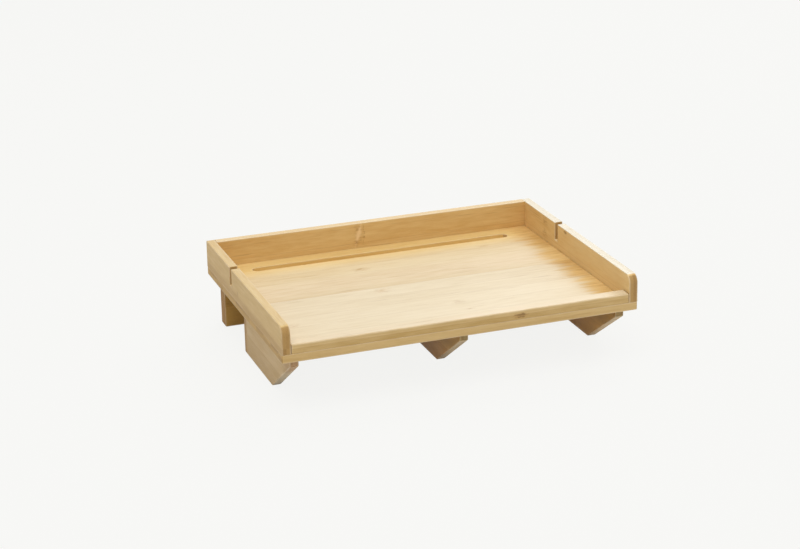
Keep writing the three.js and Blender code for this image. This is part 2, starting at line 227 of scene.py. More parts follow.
floor_material, tree, surface = new_material("pale floor")
matt = add_node(tree, "BsdfDiffuse", {"Color": floor_colour})
glow = add_node(tree, "Emission", {"Color": background_colour})
from_above = mix_shaders(seen_directly(tree) * (1 - shadow_share), matt, glow)
underneath = Value(add_node(tree, "NewGeometry").outputs["Backfacing"])
plug(mix_shaders(underneath, from_above, add_node(tree, "BsdfTransparent")), surface)
floor_mesh.materials.append(floor_material)


def soft_lamp(name, place, size, power):
    """A square lamp that faces the middle of the tray."""
    lamp = add_object(name, bpy.data.lights.new(name, "AREA"))
    lamp.data.shape, lamp.data.size, lamp.data.energy = "SQUARE", size, power
    lamp.location = place
    lamp.rotation_euler = (-Vector(place)).to_track_quat("-Z", "Y").to_euler()
    print("Lamp", name, "at", place)


soft_lamp("overhead_lamp", (-0.3, -0.7, 2.3), 2.2, 38)
soft_lamp("glancing_lamp", (1.2, 1.4, 1.6), 1.4, 16)

# %% [markdown]
# ## Boards with eased edges
# A cube with a Bevel modifier would do for a plain board, but these have slots, notches, pockets
# and countersinks. So a board is worked out as what a joiner sees: an outline, sawn out and
# rounded at its corners, and a profile of the edge, sanded round at the top and the bottom. The
# outline is carried through the profile and gives the board's wall. Two flat lids close it, with
# a hole wherever another wall, of a slot or a pocket, goes down into the board.
# All lengths are written in millimetres and become metres when the mesh is made.

# %% Outlines and edge profiles
def on_circle(angle):
    """Points (cos, sin) on a circle of radius 1."""
    return np.stack((np.cos(angle), np.sin(angle)), axis=-1)


def rounded_outline(corners, steps=6):
    """Rows (x, y, way x, way y, mitre x, mitre y, limit) round a closed outline.

    The wood is on the left of the way round. A corner (x, y, radius) gets an arc whose middle is
    where its two sides, both moved by the radius, cross: spot + radius * mitre where the outline
    turns left, spot - radius * mitre where it turns right. The mitre is the sum of the sides'
    normals, divided by 1 + their product. When the outline moves into the wood, a point of the
    arc goes its own way, to the middle at a left turn and from it at a right turn. At a left turn
    that ends at the limit, the radius: the arc is used up, and its points go on by the mitre."""
    spots = np.array([corner[:2] for corner in corners], float)
    side = np.roll(spots, -1, axis=0) - spots
    side /= np.linalg.norm(side, axis=1, keepdims=True)
    normal = np.stack((-side[:, 1], side[:, 0]), axis=1)
    before, behind = np.roll(side, 1, axis=0), np.roll(normal, 1, axis=0)
    mitre = (normal + behind) / (1 + (normal * behind).sum(axis=1, keepdims=True))
    turns = np.arctan2((behind * side).sum(axis=1), (before * side).sum(axis=1))
    parts = []
    for spot, (_, _, radius), first, ahead, turn in zip(spots, corners, behind, mitre, turns):
        if radius == 0:
            parts.append(np.array([[*spot, *ahead, *ahead, np.inf]]))
            continue
        left = math.copysign(1, turn)
        out = on_circle(math.atan2(-left * first[1], -left * first[0])
                        + turn * np.linspace(0, 1, steps + 1))
        parts.append(np.column_stack((
            spot + left * radius * ahead + radius * out, -left * out,
            np.tile(ahead, (steps + 1, 1)), np.full(steps + 1, radius if left > 0 else np.inf))))
    return np.concatenate(parts)


def hole_rows(points, out):
    """The same rows for a hole, whose points always move outwards, into the wood."""
    return np.column_stack((points, out, out, np.full(len(points), np.inf)))


def slot_hole(start, end, half_width, steps=12):
    """A slot with round ends, clockwise: half a circle round its start, then round its end."""
    start, end = np.array(start, float), np.array(end, float)
    way = math.atan2(*(end - start)[::-1])
    arc = on_circle(way + np.linspace(math.pi / 2, -math.pi / 2, steps + 1))
    return hole_rows(np.concatenate((start - half_width * arc, end + half_width * arc)),
                     np.concatenate((-arc, arc)))


def round_hole(middle, radius, steps=32):
    """A round hole, clockwise."""
    out = on_circle(-2 * math.pi * np.arange(steps) / steps)
    return hole_rows(np.array(middle, float) + radius * out, out)


def worn(angle):
    """The mask of a sanded quarter round at an angle: strongest halfway round it."""
    return 0.35 + 0.65 * np.sin(2 * angle)


def quarter(ease, level, way, steps=4, shoulder=1.0):
    """The sanded quarter round between a face and a wall, as rows of (inset, level, ease mask).

    Along the quarter, at angle a: inset = ease * (1 - sin a), and the level leaves the face's
    own by ease * (1 - cos a). The mask marks the worn edge for the material, where bamboo also
    gets a painted highlight. A flat shoulder beyond it, on the face, keeps the shading of the
    quarter off the rest of the face."""
    angle = np.linspace(0, math.pi / 2, steps + 1)
    rows = np.stack((ease * (1 - np.sin(angle)), level - way * ease * (1 - np.cos(angle)),
                     worn(angle)), axis=1)
    on_face, on_wall = [ease + shoulder, level, 0], [0, level - way * (ease + 1), 0]
    return np.vstack((on_face, rows, on_wall))


def edge_profile(top, bottom, top_ease, bottom_ease=None, bottom_shoulder=1.0):
    """From the top face over the edge, down the wall and round to the bottom face."""
    bottom_ease = top_ease if bottom_ease is None else bottom_ease
    return np.vstack((quarter(top_ease, top, 1),
                      quarter(bottom_ease, bottom, -1, shoulder=bottom_shoulder)[::-1]))


def plain_profile(*rows):
    """A profile of (inset, level) rows with no worn edge."""
    return np.array([(inset, level, 0) for inset, level in rows], float)


def wall(loop, profile, share=1.0):
    """The wall of a board or a hole: an outline's rows (u) carried through an edge profile (v).

    Point(u, v) = outline(u) + min(inset, limit) * way(u) + max(inset - limit, 0) * mitre(u), at
    level(v), with inset = inset(v) * share(u). The share, of each point or of each row and point,
    makes the easing smaller where the board meets another."""
    inset = np.broadcast_to(profile[:, :1] * share, (len(profile), len(loop)))
    first = np.minimum(inset, loop[:, 6])
    flat = loop[:, :2] + first[..., None] * loop[:, 2:4] + (inset - first)[..., None] * loop[:, 4:6]
    level = np.broadcast_to(profile[:, 1, None, None], (len(profile), len(loop), 1))
    mask = np.broadcast_to(profile[:, 2, None], flat.shape[:2])
    return np.concatenate((flat, level), axis=2), mask


# %% [markdown]
# A mesh is made once for each piece. The walls are grids, so their faces follow from the row and
# column numbers alone. Points that two surfaces share are merged, which closes the piece. The
# shading is smooth over an eased edge and stays sharp where two faces really meet at an angle.

# %% Surfaces into a mesh
lies = {
    "flat": np.array([[1, 0, 0], [0, 1, 0], [0, 0, 1]], float),
    "facing_x": np.array([[0, 1, 0], [0, 0, 1], [1, 0, 0]], float),
    "facing_y": np.array([[1, 0, 0], [0, 0, 1], [0, -1, 0]], float),
}
sharp_angle = math.radians(35)
same_place = 1e-6
made = {}


def grid_triangles(rows, columns):
    """Two triangles for every cell of a grid whose last column joins its first."""
    number = np.arange(rows * columns).reshape(rows, columns)
    here, below = number[:-1], number[1:]
    here_next, below_next = np.roll(here, -1, axis=1), np.roll(below, -1, axis=1)
    return np.concatenate((np.stack((here, below, below_next), axis=-1).reshape(-1, 3),
                           np.stack((here, below_next, here_next), axis=-1).reshape(-1, 3)))


def lid_triangles(loops, facing):
    """A flat face between an outline and its holes: Delaunay triangles between all their points.

    A triangle is kept where a line from its middle to the right crosses the loops' sides an odd
    number of times. A side is crossed when one of its ends is above the middle and one isn't, and
    the middle is on the left of a side that rises, or on the right of one that falls."""
    spots = np.concatenate(loops)[:, :2]
    first = np.cumsum([0] + [len(loop) for loop in loops[:-1]])
    following = np.concatenate([number + np.roll(np.arange(len(loop)), -1)
                                for number, loop in zip(first, loops)])
    sides = np.stack((np.arange(len(spots)), following), axis=1)
    _, _, fill, source, _, _ = delaunay_2d_cdt(
        [Vector(spot) for spot in spots], sides.tolist(), [], 1, same_place)
    assert [len(numbers) for numbers in source] == [1] * len(spots), "outlines touch each other"
    fill = np.array(source)[:, 0][np.array(fill)]
    middle = spots[fill].mean(axis=1)[:, None]
    above, above_next = spots[:, 1] > middle[..., 1], spots[following, 1] > middle[..., 1]
    side, reach = spots[following] - spots, middle - spots
    on_left = side[:, 0] * reach[..., 1] - side[:, 1] * reach[..., 0] > 0
    inside = ((above != above_next) & (on_left == above_next)).sum(axis=1) % 2 == 1
    return fill[inside][:, ::facing]


def without_repeats(ring):
    """A ring of points without those that lie on the one before, as where an arc is used up."""
    return ring[np.abs(ring - np.roll(ring, 1, axis=0)).max(axis=1) > same_place]


def make_piece(node, walls, lids=(), lie="flat"):
    """One closed piece in place of a CAD node: its grids and lids, merged, in metres."""
    parts = [(grid.reshape(-1, 3), mask.reshape(-1), grid_triangles(*grid.shape[:2]))
             for grid, mask in walls]
    for rings, facing in lids:
        loops = [without_repeats(ring) for ring in rings]
        spots = np.concatenate(loops)
        parts.append((spots, np.zeros(len(spots)), lid_triangles(loops, facing)))
    points, masks = (np.concatenate([part[i] for part in parts]) for i in range(2))
    starts = np.cumsum([0] + [len(spots) for spots, _, _ in parts[:-1]])
    triangles = np.concatenate([faces + start for (_, _, faces), start in zip(parts, starts)])
    _, kept, merged = np.unique(np.round(points, 5), axis=0, return_index=True, return_inverse=True)
    faces = merged.reshape(-1)[triangles]
    faces = faces[(faces != np.roll(faces, 1, axis=1)).all(axis=1)]
    mesh = bpy.data.meshes.new("finished_" + node)
    mesh.from_pydata((points[kept] @ lies[lie] / 1000).tolist(), [], faces.tolist())
    ease = mesh.attributes.new("ease", "FLOAT", "POINT")
    ease.data.foreach_set("value", masks[kept].astype(np.float32))
    mesh.shade_smooth()
    mesh.set_sharp_from_angle(angle=sharp_angle)
    made[node] = add_object("finished_" + node, mesh)
    made[node].modifiers.new("Even shading", "WEIGHTED_NORMAL").keep_sharp = True
    ends = np.stack((faces, np.roll(faces, -1, axis=1)), axis=-1).reshape(-1, 2)
    there, back = ends @ (len(points), 1), ends[:, ::-1] @ (len(points), 1)
    closed = len(set(there)) == len(there) and set(there) == set(back)
    print(f"{node}: {len(faces)} triangles, closed: {closed}")


def rims(walls, row):
    """The rings of points in the given row of each wall, as the outline and holes of a lid."""
    return [grid[row] for grid, _ in walls]


def make_board(node, outline, profile, lie="flat", share=1.0, holes=()):
    """A board with holes right through it: its walls, and a lid at their first and last rows."""
    walls = [wall(outline, profile, share), *holes]
    make_piece(node, walls, [(rims(walls, 0), 1), (rims(walls, -1), -1)], lie)


# %% [markdown]
# ## The tray's base board
# An 8 mm bamboo board. Its floor stands half a millimetre above the rebate that the rails and the
# lip are let into. A blind groove near the back holds a tablet upright. The underside has shallow
# housings for the brackets, two bores for the threaded inserts and a countersunk hole for every
# screw. Boolean modifiers could cut all this, but they leave ragged shading. Carrying each cut's
# own outline through its own profile keeps every edge clean and eased.

# %% Base board
half_width, half_depth = 165.0, 120.0
underside, rebate, tray_floor, rim = 47.0, 54.5, 55.0, 80.0
rail_thickness, lip_depth, fit_gap = 8.0, 12.0, 0.3
rail_face, back_rail_face = half_width - rail_thickness, half_depth - rail_thickness
board_ease, screwed_ease, joint_ease, lip_setback = 0.7, 0.5, 0.2, 0.15
screwed_shoulder = 0.1
knob_axes, knob_line = {"left": -78.0, "right": 78.0}, 4.0
side_signs = {"left": -1, "right": 1}

screw_shank, screw_head, screw_recess, head_gap = 1.5, 3.0, 0.3, 0.2
rail_screw_line, rail_screw_ends, back_screw_line, lip_screw_line = 161.0, 98.0, 116.0, -114.0
cross_row = np.linspace(-135, 135, 4)
rail_screws = {f"{side}_rail_screw_{i + 1}": (sign * rail_screw_line, y)
               for side, sign in side_signs.items()
               for i, y in enumerate(np.linspace(-rail_screw_ends, rail_screw_ends, 3))}
rail_screws |= {f"back_rail_screw_{i + 1}": (x, back_screw_line) for i, x in enumerate(cross_row)}
lip_screws = {f"lip_screw_{i + 1}": (x, lip_screw_line) for i, x in enumerate(cross_row)}


def box_corners(low_x, low_y, high_x, high_y, low_radius, high_radius=None):
    """A rectangle's corners as (x, y, radius), with one radius for the low side and one for the
    high side."""
    high_radius = low_radius if high_radius is None else high_radius
    return [(low_x, low_y, low_radius), (high_x, low_y, low_radius),
            (high_x, high_y, high_radius), (low_x, high_y, high_radius)]


def countersink(middle, mouth, end):
    """The wall of a screw's hole: a straight mouth at the face with the head, a cone and a bore
    to the board's other face, from the higher face to the lower one."""
    way = math.copysign(1, mouth - end)
    bore, wide = screw_shank + fit_gap, screw_head + head_gap
    cone_foot = mouth - way * (screw_recess + wide - bore)
    rows = [(wide - bore, mouth), (wide - bore, mouth - way * screw_recess),
            (0, cone_foot), (0, end)]
    return wall(round_hole(middle, bore, 24), plain_profile(*rows[::int(way)]))


base_outline = rounded_outline(box_corners(-half_width, -half_depth, half_width, half_depth, 1))
base_edge = edge_profile(rebate, underside, joint_ease, screwed_ease, screwed_shoulder)
under_rails = (base_edge[:, 1:2] > rebate - 2) & (base_outline[:, 1] > 1 - half_depth)
outer = wall(base_outline, base_edge, np.where(under_rails, 0.25, 1.0))
print("Screws up through the base board:", len(rail_screws | lip_screws))

# %% Raised floor and groove
field_x, field_ease = rail_face - fit_gap, 0.1
field = wall(rounded_outline(box_corners(-field_x, lip_depth - half_depth + fit_gap, field_x,
                                         back_rail_face - fit_gap, 0.3), 2),
             plain_profile((field_ease, tray_floor), (0, tray_floor - field_ease), (0, rebate)))
groove_depth, groove_reach, groove_line, groove_half = 4.0, 124.0, 91.5, 5.0
groove_ease, groove_fillet, groove_bed = 0.25, 0.4, tray_floor - groove_depth
groove = wall(slot_hole((-groove_reach, groove_line), (groove_reach, groove_line), groove_half),
              np.vstack((quarter(groove_ease, tray_floor, 1, 3),
                         plain_profile((0, groove_bed + groove_fillet),
                                       (-groove_fillet, groove_bed)))))
print("Groove in mm:", 2 * (groove_reach + groove_half), "x", 2 * groove_half, "x", groove_depth)

# %% Housings, bores and the finished base board
housing_top, jaw_front, jaw_back, gusset_tip = 49.5, 23.0, 31.0, -111.0
gusset_middles = {"left": -152.0, "middle": 2.5, "right": 152.0}
gusset_half, bracket_reach = 4.0, 156.0
insert_radius, insert_top, bore_chamfer = 4.5, underside + 6.5, 0.4

# The housing is a comb in outline. The two outer gussets are flush with the jaw board's ends, so
# the two points where they would leave it fall away.
comb_end = bracket_reach + fit_gap
comb = [(comb_end, jaw_back + fit_gap)]
for middle in sorted(gusset_middles.values(), reverse=True):
    low, high = middle - gusset_half - fit_gap, middle + gusset_half + fit_gap
    comb += [(high, jaw_front - fit_gap), (high, gusset_tip - fit_gap),
             (low, gusset_tip - fit_gap), (low, jaw_front - fit_gap)]
comb.append((-comb_end, jaw_back + fit_gap))
straight_on = (comb[1], comb[-2])
housing = wall(rounded_outline([(*spot, 0) for spot in comb if spot not in straight_on]),
               plain_profile((0, housing_top), (0, underside)))
bores = [wall(round_hole((x, knob_line), insert_radius + fit_gap),
              plain_profile((0, insert_top + fit_gap), (0, underside + bore_chamfer),
                            (bore_chamfer, underside)))
         for x in knob_axes.values()]
holes = [countersink(spot, underside, rebate) for spot in (rail_screws | lip_screws).values()]
make_piece(
    "base_board", [outer, field, groove, housing, *bores, *holes],
    [([outer[0][0], field[0][-1], *rims(holes, 0)], 1), (rims([field, groove], 0), 1),
     ([groove[0][-1]], 1), (rims([outer, housing, *bores, *holes], -1), -1),
     *[([rim], -1) for rim in rims([housing, *bores], 0)]])

# %% [markdown]
# ## Rails and lip
# The side rails run the full depth and have a rounded front top corner and an open slit for a
# cable. The back rail and the low front lip stand between them. Where one board is glued to
# another its edge is hardly eased, so the joint shows as a fine line and not as a groove.

# %% Side rails, back rail and front lip
rail_corner, lip_top, lip_ease, lip_back_ease, lip_gap = 0.3, tray_floor + 8, 0.9, 0.6, 0.4
joint_clearance, joint_share, end_share, end_zone, extra_point = 1.2, 0.12, 0.2, 0.4, 3


def eased_share(loop):
    """How much of the edge profile each point of a wall takes: little where it meets the base."""
    return np.where(loop[:, 1] < rebate + joint_clearance, joint_share, 1.0)


slit_front, slit_back, slit_floor, slit_radius, front_radius = 34.5, 40.5, 63.0, 0.8, 8.0
side_outline = rounded_outline([
    (-half_depth, rebate, 0.4), (half_depth, rebate, 0.4), (half_depth, rim, 1.0),
    (slit_back, rim, slit_radius), (slit_back, slit_floor, slit_radius),
    (slit_front, slit_floor, slit_radius), (slit_front, rim, slit_radius),
    (-half_depth, rim, front_radius)])
for side, sign in side_signs.items():
    low, high = sorted((sign * half_width, sign * rail_face))
    make_board(f"{side}_side_rail", side_outline, edge_profile(high, low, board_ease), "facing_x",
               eased_share(side_outline))

near_end = rail_face - extra_point
back_outline = rounded_outline([
    (-rail_face, rebate, rail_corner), (rail_face, rebate, rail_corner),
    (rail_face, rim, rail_corner), (near_end, rim, 0), (-near_end, rim, 0),
    (-rail_face, rim, rail_corner)], 2)
back_share = np.minimum(eased_share(back_outline),
                        np.where(np.abs(back_outline[:, 0]) > rail_face - end_zone, end_share, 1.0))
make_board("back_rail", back_outline, edge_profile(-back_rail_face, -half_depth, board_ease),
           "facing_y", back_share)

lip_reach = rail_face - lip_gap
lip_outline = rounded_outline(
    box_corners(-lip_reach, rebate, lip_reach, lip_top, rail_corner, lip_ease), 3)
lip_edge = edge_profile(half_depth - lip_setback, half_depth - lip_depth, lip_ease, lip_back_ease)
make_board("front_lip", lip_outline, lip_edge, "facing_y", eased_share(lip_outline))

# %% [markdown]
# ## Brackets and jaws
# Three gussets with a sloping front edge carry the fixed jaw board, which is screwed to their back
# edges and has two notches for the sliding arms. The rear jaw is one thicker board.

# %% Gussets and jaw boards
gusset_nose, slope_foot, bracket_top, jaw_ease = 39, -54, 49.2, 0.5
gusset_outline = rounded_outline([
    (jaw_front, 0, 0.6), (jaw_front, bracket_top, 0), (gusset_tip, bracket_top, 0),
    (gusset_tip, gusset_nose, 2), (slope_foot, 0, 2)])
for place, middle in gusset_middles.items():
    make_board(f"{place}_gusset", gusset_outline,
               edge_profile(middle + gusset_half, middle - gusset_half, board_ease), "facing_x")

notch_floor, notch_half = 38.2, 15.5
jaw_corners = [(-bracket_reach, 0, 0.8), (bracket_reach, 0, 0.8), (bracket_reach, bracket_top, 0)]
for middle in (knob_axes["right"], knob_axes["left"]):
    low, high = middle - notch_half, middle + notch_half
    jaw_corners += [(high, bracket_top, 0), (high, notch_floor, 1),
                    (low, notch_floor, 1), (low, bracket_top, 0)]
jaw_corners.append((-bracket_reach, bracket_top, 0))
jaw_levels = {"lower": 12.0, "upper": 35.0}
jaw_screws = {f"{place}_jaw_screw_{level}": (middle, height)
              for place, middle in gusset_middles.items() for level, height in jaw_levels.items()}
make_board("fixed_jaw_board", rounded_outline(jaw_corners),
           edge_profile(-jaw_front, -jaw_back, jaw_ease, screwed_ease, screwed_shoulder),
           "facing_y", holes=[countersink(spot, -jaw_back, -jaw_front)
                              for spot in jaw_screws.values()])

rear_front, rear_back, arm_underside, arm_top = 97.0, 111.0, 38.7, 46.7
make_board("rear_jaw_board",
           rounded_outline(box_corners(-bracket_reach, 0, bracket_reach, arm_underside, 1, 0.6)),
           edge_profile(-rear_front, -rear_back, board_ease), "facing_y")

# %% [markdown]
# ## Sliding arms
# Each arm is an 8 mm board with a long slot for the knob's stud. It lies right under the tray, so
# the shelf stays level however wide the clamp is opened.

# %% Slotted arms
slot_ends, slot_half, slot_ease = (0.0, 68.0), 3.4, 0.4
arm_half, arm_tip, arm_tip_radius = 15.0, -15.4, 7
arm_screw_line, arm_screw_offset = 104.0, 8.0
arm_screws = {f"{side}_arm_screw_{place}": (x + offset * math.copysign(1, x), arm_screw_line)
              for side, x in knob_axes.items()
              for place, offset in (("outer", arm_screw_offset), ("inner", -arm_screw_offset))}
for side, x in knob_axes.items():
    corners = box_corners(x - arm_half, arm_tip, x + arm_half, rear_back, arm_tip_radius, 1)
    slot = wall(slot_hole(*((x, end) for end in slot_ends), slot_half),
                edge_profile(arm_top, arm_underside, slot_ease))
    arm_holes = [countersink(spot, arm_top, arm_underside)
                 for name, spot in arm_screws.items() if name.startswith(side)]
    make_board(f"{side}_slide_arm", rounded_outline(corners, 8),
               edge_profile(arm_top, arm_underside, board_ease), holes=[slot, *arm_holes])

# %% [markdown]
# ## Turned and threaded fittings
# Washers, studs, inserts, screws and knobs are all surfaces round an axis: a radius that depends
# on the angle and on the way along the profile. A plain ring's radius doesn't change with the
# angle. A thread's does: its ridge climbs by one pitch a turn, so the radius depends on the height
# less the angle's share of the pitch. Here the ridges are real surface, not a bump pattern.

# %% Surfaces round an axis
def round_surface(axis, profile, columns, radius_change=None):
    """A profile of (radius, level, ease mask) rows, downwards on the outside, round an axis.

    Point(a, v) = axis + (radius(v) + change(a, v)) * (cos a, sin a), at level(v), where a is
    the angle and the change is what makes a thread or a lobe."""
    profile = np.asarray(profile, float)
    angle = (2 * math.pi * np.arange(columns) / columns)[None]
    radius, level = profile[:, 0, None], profile[:, 1, None]
    if radius_change is not None:
        radius = radius + radius_change(angle, radius, level)
    grid = np.stack((axis[0] + radius * np.cos(angle), axis[1] + radius * np.sin(angle),
                     level + 0 * angle), axis=2)
    return grid, np.broadcast_to(profile[:, 2, None], grid.shape[:2])


def thread(pitch, depth, low, high, run_out=1.0):
    """A thread's change of radius: depth * (0.5 cos(turn) - 0.5), fading out at both ends.

    The turn is 2 pi * (level / pitch - angle / 2 pi), so the ridge climbs one pitch a turn."""
    def change(angle, radius, level):
        turn = 2 * math.pi * level / pitch - angle
        fading = np.clip((level - low) / run_out, 0, 1) * np.clip((high - level) / run_out, 0, 1)
        return fading * depth * (0.5 * np.cos(turn) - 0.5)
    return change


def straight(radius, levels):
    """Profile rows of one radius at many levels, fine enough to carry a thread."""
    return np.column_stack((np.full(len(levels), radius), levels, np.zeros(len(levels))))


def closed_ring(inner, outer, low, high, ease, outside=(), inside=()):
    """The cross-section of a ring with rounded edges, once round and back to its start.

    It goes down the outside, in along the bottom, up the inside and out along the top. The
    levels outside and inside are extra rows for a thread."""
    quarter_turn = np.linspace(0, math.pi / 2, 5)
    corners = [(outer - ease, high - ease, 1, 1, outside), (outer - ease, low + ease, 1, -1, ()),
               (inner + ease, low + ease, -1, -1, inside), (inner + ease, high - ease, -1, 1, ())]
    rows = []
    for number, (radius, level, out, up, levels) in enumerate(corners):
        angle = quarter_turn if number % 2 else quarter_turn[::-1]
        rows.append(np.column_stack((radius + out * ease * np.cos(angle),
                                     level + up * ease * np.sin(angle), worn(angle))))
        rows.append(straight(radius + out * ease, levels))
    return np.vstack(rows + [rows[0][:1]])


# %% Washers and threaded inserts
washer_low, washer_high, washer_radius, stud_clearance, ring_ease = 36.8, 38.4, 9.0, 3.3, 0.3
insert_bore, between_threads, insert_rows = 3.12, 3.8, 40
for side, x in knob_axes.items():
    ring = closed_ring(stud_clearance, washer_radius, washer_low, washer_high, ring_ease)
    make_piece(f"{side}_washer", [round_surface((x, knob_line), ring, 64)])
    down = np.linspace(insert_top - 0.5, underside + 0.5, insert_rows)
    ring = closed_ring(insert_bore, insert_radius, underside, insert_top, ring_ease, down,
                       down[::-1])
    outside = thread(2.2, 0.7, underside + 0.6, insert_top - 0.2)
    inside = thread(1.0, -0.3, underside + 0.2, insert_top - 0.2, 0.3)
    change = lambda angle, radius, level: np.where(
        radius > between_threads, outside(angle, radius, level), inside(angle, radius, level))
    make_piece(f"{side}_insert", [round_surface((x, knob_line), ring, 40, change)])

# %% [markdown]
# ## Studs and screws
# The studs are M6 with a pitch of 1 mm. The wood screws have a countersunk head with a cross
# recess. The recess is a height that depends on both coordinates of the head's flat top: four
# wings that get narrower downwards, meeting in a deeper middle.

# %% M6 studs
stud_foot, stud_tip, stud_radius, stud_chamfer = 25.5, 52.5, 3.0, 0.8
for side, x in knob_axes.items():
    levels = np.arange(stud_tip - stud_chamfer, stud_foot + 0.3, -0.125)
    profile = np.vstack(([(0, stud_tip, 0), (stud_radius - stud_chamfer, stud_tip, 0.5)],
                         straight(stud_radius, levels),
                         [(stud_radius, stud_foot, 0), (0, stud_foot, 0)]))
    make_piece(f"{side}_knob_stud", [round_surface(
        (x, knob_line), profile, 28, thread(1.0, 0.55, stud_foot + 0.4, stud_tip - 0.4, 0.8))])


# %% Countersunk wood screws
def cross_recess(x, y, depth=1.5, wing=0.55, reach=1.75, flank=0.22):
    """How deep the cross recess is at a point of the head's top.

    It is deepest in the middle, and each wing's floor rises to the head's top at the wing's end
    and at its sides, over a steep flank."""
    def wing_floor(along, across):
        floor = depth * np.clip(1 - np.abs(along) / reach, 0, 1) ** 0.5
        return floor * np.clip((wing - np.abs(across)) / flank, 0, 1)
    return np.maximum(wing_floor(x, y), wing_floor(y, x))


def wood_screw(node, place, way, length, columns=32, pointed=3.5, smooth_shank=1.5):
    """One screw: its head's top is at place and its tip is length away along way."""
    head_radii = np.concatenate(([0], np.linspace(0.25, 2.1, 9), [2.6, 2.85]))[:, None, None]
    top = head_radii * on_circle(2 * math.pi * np.arange(columns) / columns)
    top = np.concatenate((top, -cross_recess(top[..., 0], top[..., 1])[..., None]), axis=2)
    cone = screw_head - screw_shank
    thread_top = -cone - smooth_shank
    levels = np.linspace(thread_top, pointed - length, max(int(length * 3), 12))
    profile = np.vstack(([(2.95, -0.04, 1), (screw_head, -0.12, 1), (screw_head - 0.1, -0.25, 0.4),
                          (screw_shank, -cone, 0)], straight(screw_shank, levels),
                         [(screw_shank * 0.55, 1.2 - length, 0), (0, -length, 0)]))
    body, mask = round_surface((0, 0), profile, columns,
                               thread(1.4, 0.45, 0.8 - length, thread_top))
    to_way = np.array(Vector((0, 0, -1)).rotation_difference(Vector(way)).to_matrix())
    make_piece(node, [(np.concatenate((top, body)) @ to_way.T + np.array(place),
                       np.concatenate((np.zeros(top.shape[:2]), mask)))])


long_screw, lip_screw, jaw_screw, arm_screw = 23.7, 13.2, 24.7, 29.7
for screws, length in ((rail_screws, long_screw), (lip_screws, lip_screw)):
    for name, (x, y) in screws.items():
        wood_screw(name, (x, y, underside + screw_recess), (0, 0, 1), length)
for name, (x, height) in jaw_screws.items():
    wood_screw(name, (x, jaw_back - screw_recess, height), (0, -1, 0), jaw_screw)
for name, (x, y) in arm_screws.items():
    wood_screw(name, (x, y, arm_top - screw_recess), (0, 0, -1), arm_screw)

# %% [markdown]
# ## Lobed knobs
# Moulded star knobs with six lobes, gripped from below. A knob is one surface: a profile that
# starts in the socket for the stud, crosses the boss, rounds the shoulder, goes down the grip and
# closes under it in a shallow dish. Each row of the profile says how much of the lobes it takes,
# so the lobes fade into the round boss above and the round dish below.

# %% Knobs
knob_top, boss_radius, boss_height, knob_radius, knob_height = 36.5, 8.0, 3.0, 16.0, 15.0
lobes, flute_depth, socket_depth, socket_radius = 6, 3.0, 11.3, 3.3
grip_top, knob_foot = -boss_height, -knob_height


def arc(middle, radius, start, end, steps=5):
    """Rows of a rounded edge, from one angle to another in degrees, as (radius, level)."""
    return np.array(middle) + radius * on_circle(np.radians(np.linspace(start, end, steps + 1)))


def knob_rows():
    """The profile as (radius, level) below the top, with each row's share of the lobes and its
    ease mask."""
    parts = [
        ([(0, -socket_depth), (socket_radius, -socket_depth), (socket_radius, -0.4),
          (socket_radius + 0.4, 0), (5.4, 0.0)], 0, 0),
        (arc((boss_radius - 0.5, -0.5), 0.5, 90, 0), 0, 0.8),
        (arc((boss_radius + 0.9, grip_top + 0.9), 0.9, 180, 270), 0, 0),
        ([(10.2, grip_top - 0.05)], 0.25, 0),
        ([(12.4, grip_top - 0.12)], 0.8, 0),
        (arc((knob_radius - 1.6, grip_top - 1.6), 1.55, 84, 0, 6), 1, 0.9),
        ([(knob_radius, grip_top - y) for y in (3.0, 4.8, 6.6)], 1, 0),
        (arc((knob_radius - 3.4, knob_foot + 3.4), 3.4, 0, -78, 9), 1, 0.6),
        ([(11.6, knob_foot + 0.02), (11.0, knob_foot + 0.04)], 0.7, 0.2),
        (arc((9.6, knob_foot + 0.7), 0.7, -90, -150, 3), 0.25, 0.5),
        ([(8.2, knob_foot + 1.2), (4.4, knob_foot + 1.45), (3.6, knob_foot + 1.35),
          (2.4, knob_foot + 0.75), (0, knob_foot + 0.6)], 0, 0),
    ]
    return np.vstack([np.column_stack((rows, np.full(len(rows), share), np.full(len(rows), mask)))
                      for rows, share, mask in parts])


radius, level, lobe_share, mask = knob_rows().T
lobed = lambda angle, radius, level: -lobe_share[:, None] * flute_depth * radius / knob_radius * (
    0.5 - 0.5 * np.cos(lobes * angle))
profile = np.column_stack((radius, knob_top + level, mask))
for side, x in knob_axes.items():
    make_piece(f"{side}_knob", [round_surface((x, knob_line), profile, 144, lobed)])

# %% [markdown]
# ## Bamboo
# Bamboo board isn't sawn from one piece. It is glued up from strips about 20 mm wide, in layers,
# and that is what the eye reads: strips of slightly different yellow, a hair-fine glue line
# between them, long fibres, short brown flecks, and now and then a culm's node, a thin cross line
# where a leaf grew. A wood photograph would do this in a flat picture, but not in a solid: here
# the pattern is worked out in three dimensions from the piece's own coordinates, so a groove or
# an edge cuts through the same strips and layers as the face. End grain is a field of dots.

# %% Worn edges, and on bamboo a painted highlight, for every finish
def new_group(name, inputs, outputs):
    """A node group, its named inputs as Values and its named output sockets.

    An input's kind follows from its value: a number, a vector of 3 or a colour of 4 numbers."""
    tree = bpy.data.node_groups.new(name, "ShaderNodeTree")
    for label, value in inputs.items():
        kind = {1: "Float", 3: "Vector", 4: "Color"}[np.size(value)]
        tree.interface.new_socket(name=label, in_out="INPUT",
                                  socket_type="NodeSocket" + kind).default_value = value
    for label in outputs:
        tree.interface.new_socket(name=label, in_out="OUTPUT", socket_type="NodeSocket" + (
            "Color" if label == "Color" else "Float"))
    given = {socket.name: Value(socket) for socket in tree.nodes.new("NodeGroupInput").outputs}
    return tree, given, tree.nodes.new("NodeGroupOutput").inputs


